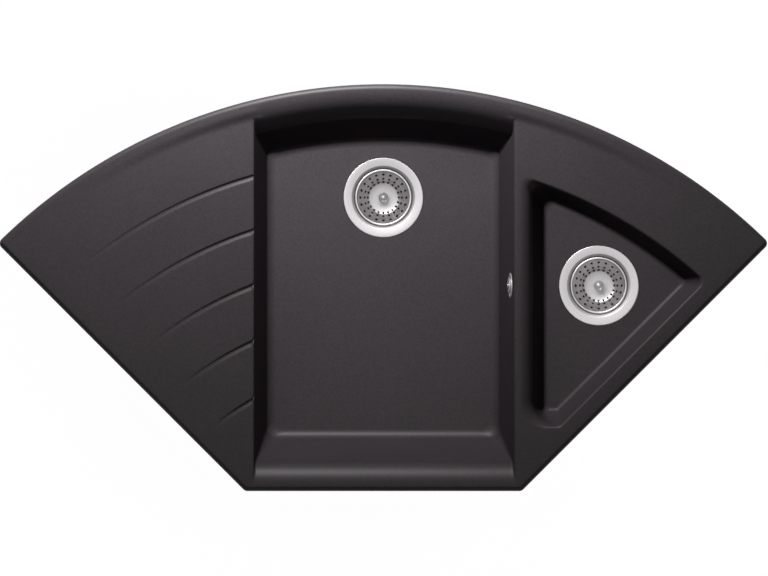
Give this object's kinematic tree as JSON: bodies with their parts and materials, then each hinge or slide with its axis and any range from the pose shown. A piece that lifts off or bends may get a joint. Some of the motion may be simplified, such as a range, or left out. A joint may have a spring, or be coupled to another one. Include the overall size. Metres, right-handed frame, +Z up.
{
  "type": "corner kitchen sink",
  "caption": "Sector-shaped corner sink in dark composite stone with drainer, two bowls, strainer baskets, overflow, wastes and rim clips.",
  "frame": {"origin": "middle of the plan, on the worktop, in the plane of the rim's underside", "axes": "+Z up, +Y to the arc in the worktop's corner, -Y to the user, +X to the side of the small bowl"},
  "size_m": [1.0702, 0.567, 0.3718],
  "materials": {
    "granite": "satin, fine matt grain",
    "brushed_steel": "satin",
    "polished_steel": "polished",
    "zinc_steel": "zinc plated",
    "brass": "turned",
    "white_plastic": "moulded",
    "hose_plastic": "corrugated",
    "rubber": "moulded",
    "foam_tape": "foam"
  },
  "bodies": {
    "sink": {"sink_body": "granite", "rim_seal": "foam_tape", "clip_inserts": "brass", "clip_screws": "zinc_steel", "main_waste_flange": "brushed_steel", "main_flange_gasket": "rubber", "main_waste_washer": "rubber", "main_waste_body": "white_plastic", "main_waste_screw": "brushed_steel", "small_waste_flange": "brushed_steel", "small_flange_gasket": "rubber", "small_waste_washer": "rubber", "small_waste_body": "white_plastic", "small_waste_screw": "brushed_steel", "overflow_cover": "polished_steel", "overflow_screw": "brushed_steel", "overflow_gasket": "rubber", "overflow_housing": "white_plastic", "overflow_hose": "hose_plastic", "hose_clips": "zinc_steel", "union_nuts": "white_plastic", "union_washers": "rubber", "link_pipe": "white_plastic", "waste_tee": "white_plastic", "slip_nut": "white_plastic", "slip_washer": "rubber"},
    "main_basket": {"main_strainer_basket": "brushed_steel", "main_basket_knob": "polished_steel", "main_basket_seal": "rubber", "main_basket_nut": "brass"},
    "small_basket": {"small_strainer_basket": "brushed_steel", "small_basket_knob": "polished_steel", "small_basket_seal": "rubber", "small_basket_nut": "brass"},
    "clip_1": {"rim_clip_1": "zinc_steel"},
    "clip_2": {"rim_clip_2": "zinc_steel"},
    "clip_3": {"rim_clip_3": "zinc_steel"},
    "clip_4": {"rim_clip_4": "zinc_steel"},
    "clip_5": {"rim_clip_5": "zinc_steel"},
    "clip_6": {"rim_clip_6": "zinc_steel"},
    "clip_7": {"rim_clip_7": "zinc_steel"},
    "clip_8": {"rim_clip_8": "zinc_steel"}
  },
  "joints": [
    {"name": "main_basket_lift", "type": "slide", "parent": "sink", "child": "main_basket", "axis": [0, 0, 1], "range_m": [0, 0.12]},
    {"name": "small_basket_lift", "type": "slide", "parent": "sink", "child": "small_basket", "axis": [0, 0, 1], "range_m": [0, 0.12]},
    {"name": "clip_1_swing", "type": "hinge", "parent": "sink", "child": "clip_1", "pos_m": [-0.45738, 0.1037, -0.045], "axis": [0, 0, 1], "range_deg": [0, 90]},
    {"name": "clip_2_swing", "type": "hinge", "parent": "sink", "child": "clip_2", "pos_m": [-0.25557, 0.21608, -0.045], "axis": [0, 0, 1], "range_deg": [0, 90]},
    {"name": "clip_3_swing", "type": "hinge", "parent": "sink", "child": "clip_3", "pos_m": [0.25557, 0.21608, -0.045], "axis": [0, 0, 1], "range_deg": [0, 90]},
    {"name": "clip_4_swing", "type": "hinge", "parent": "sink", "child": "clip_4", "pos_m": [0.45738, 0.1037, -0.045], "axis": [0, 0, 1], "range_deg": [0, 90]},
    {"name": "clip_5_swing", "type": "hinge", "parent": "sink", "child": "clip_5", "pos_m": [-0.27042, -0.17471, -0.045], "axis": [0, 0, 1], "range_deg": [0, 90]},
    {"name": "clip_6_swing", "type": "hinge", "parent": "sink", "child": "clip_6", "pos_m": [-0.4189, -0.02623, -0.045], "axis": [0, 0, 1], "range_deg": [0, 90]},
    {"name": "clip_7_swing", "type": "hinge", "parent": "sink", "child": "clip_7", "pos_m": [0.2169, -0.22823, -0.045], "axis": [0, 0, 1], "range_deg": [0, 90]},
    {"name": "clip_8_swing", "type": "hinge", "parent": "sink", "child": "clip_8", "pos_m": [0.47933, 0.03419, -0.045], "axis": [0, 0, 1], "range_deg": [0, 90]}
  ]
}
